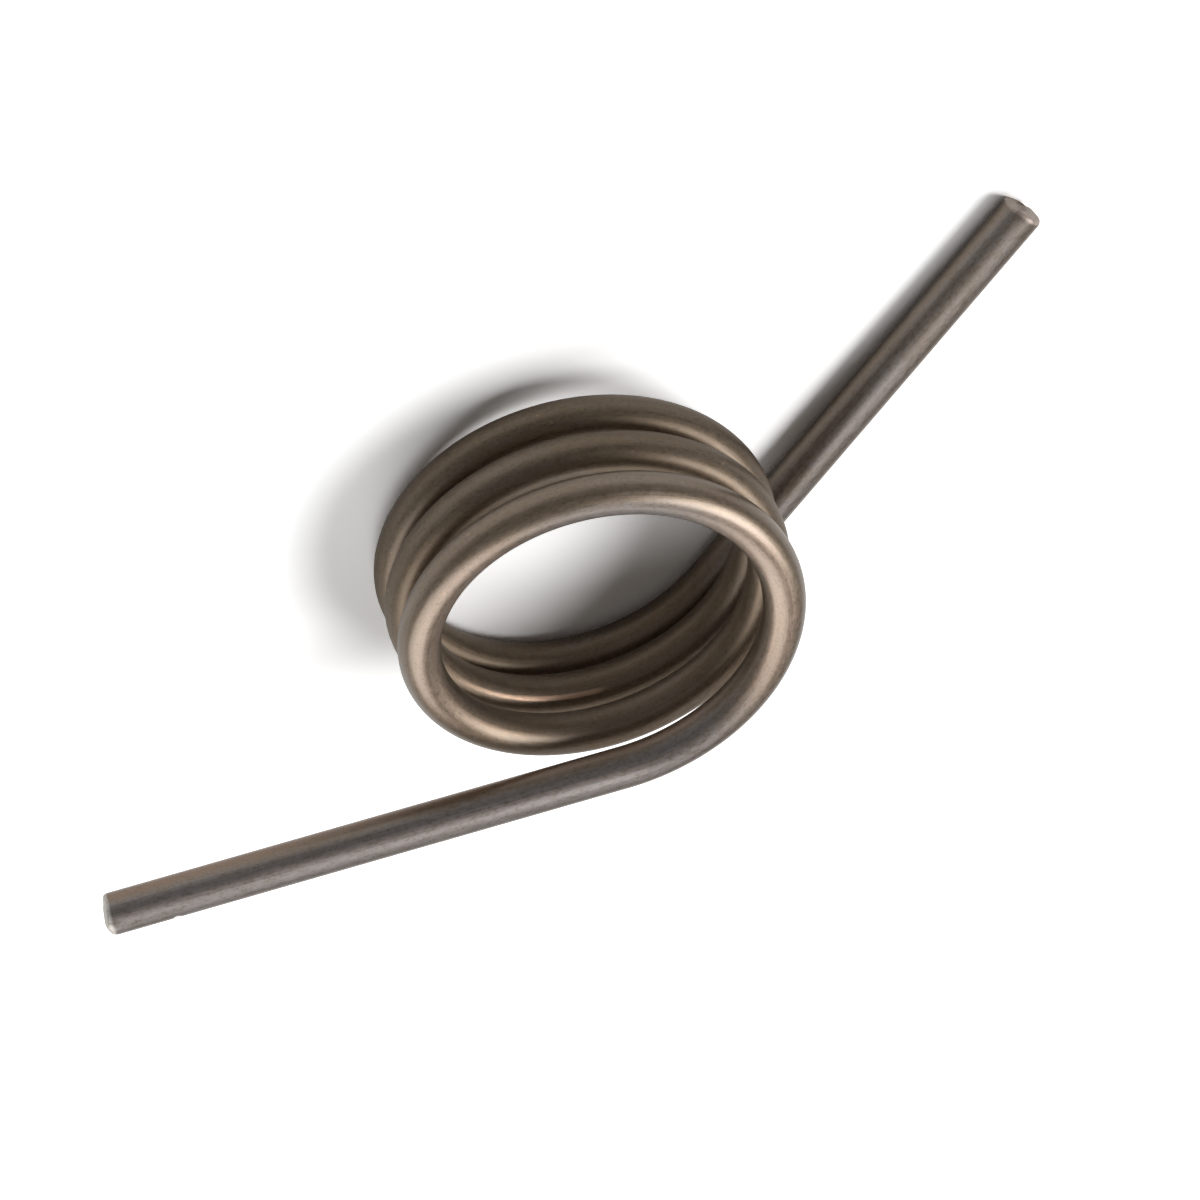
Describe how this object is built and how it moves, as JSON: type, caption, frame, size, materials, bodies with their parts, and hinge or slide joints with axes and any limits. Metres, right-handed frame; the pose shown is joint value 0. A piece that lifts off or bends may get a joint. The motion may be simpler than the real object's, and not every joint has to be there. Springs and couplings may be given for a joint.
{
  "type": "torsion spring",
  "caption": "Helical torsion spring bent from round steel wire, left-hand wound, with a straight leg leaving each end of the coil at a tangent.",
  "frame": {"origin": "on the coil's axis, level with the lowest point of the spring, which is the underside of the lower leg's tip", "axes": "+Z along the coil's axis from the lower leg's end of the coil towards the upper leg's; +Y the way the lower leg points; the lower leg leaves the coil on the +X side"},
  "size_m": [0.0343, 0.072, 0.018],
  "materials": {
    "spring_wire": "satin drawn spring wire with a faint bronze oxide tint"
  },
  "bodies": {
    "root": {"spring_wire": "spring_wire"}
  },
  "joints": []
}
